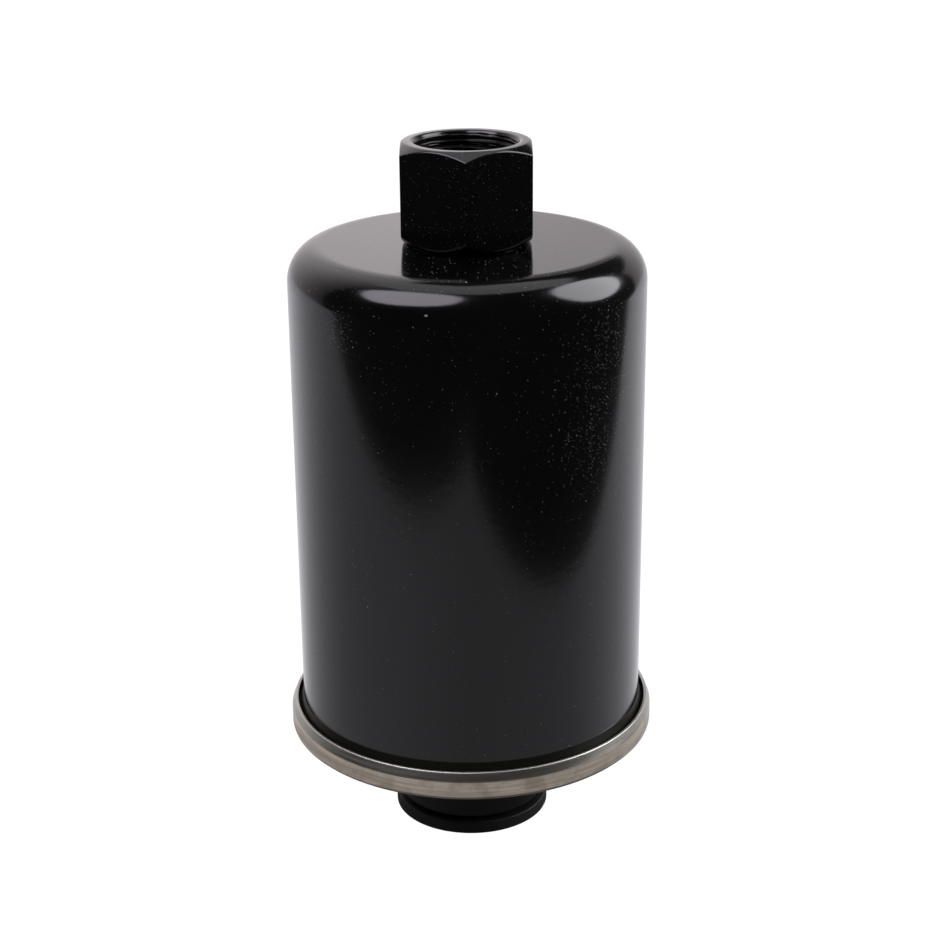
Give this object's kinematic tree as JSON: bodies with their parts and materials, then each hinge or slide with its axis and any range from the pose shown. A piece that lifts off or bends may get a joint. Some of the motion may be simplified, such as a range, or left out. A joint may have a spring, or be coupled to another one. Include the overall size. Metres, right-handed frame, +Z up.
{
  "type": "fuel filter",
  "caption": "In-line metal-can fuel filter with a female-thread hexagon inlet, a rolled-rim end cover and a plugged outlet boss.",
  "frame": {"origin": "bottom centre of the transit plug that the filter stands on", "axes": "+Z up along the can's axis to the inlet hexagon; one edge of the hexagon faces -Y"},
  "size_m": [0.0598, 0.0598, 0.1128],
  "materials": {
    "can_enamel": "gloss black stoved enamel",
    "fitting_enamel": "satin black enamel",
    "boss_enamel": "satin black enamel",
    "bare_steel": "bare rolled steel, fine turning marks",
    "seam_compound": "dark sealing compound",
    "braze_metal": "copper braze",
    "plug_rubber": "matte moulded rubber",
    "seal_rubber": "moulded nitrile rubber",
    "filter_paper": "resin-cured filter paper",
    "tinned_steel": "tinned sheet",
    "potting_adhesive": "cured adhesive",
    "spring_steel": "oiled spring wire"
  },
  "bodies": {
    "filter": {"canister": "can_enamel", "cover_plate": "bare_steel", "seam_gasket": "seam_compound", "inlet_fitting": "fitting_enamel", "inlet_braze_ring": "braze_metal", "outlet_fitting": "boss_enamel", "outlet_braze_ring": "braze_metal", "pleated_paper": "filter_paper", "pleat_seam_clip": "tinned_steel", "centre_tube": "tinned_steel", "upper_end_cap": "tinned_steel", "lower_end_cap": "tinned_steel", "upper_potting": "potting_adhesive", "lower_potting": "potting_adhesive", "element_seal": "seal_rubber", "hold_down_spring": "spring_steel", "spring_seat": "tinned_steel"},
    "transit_plug": {"outlet_plug": "plug_rubber"}
  },
  "joints": [
    {"name": "plug_pull", "type": "slide", "parent": "filter", "child": "transit_plug", "axis": [0, 0, -1], "range_m": [0, 0.02]}
  ]
}
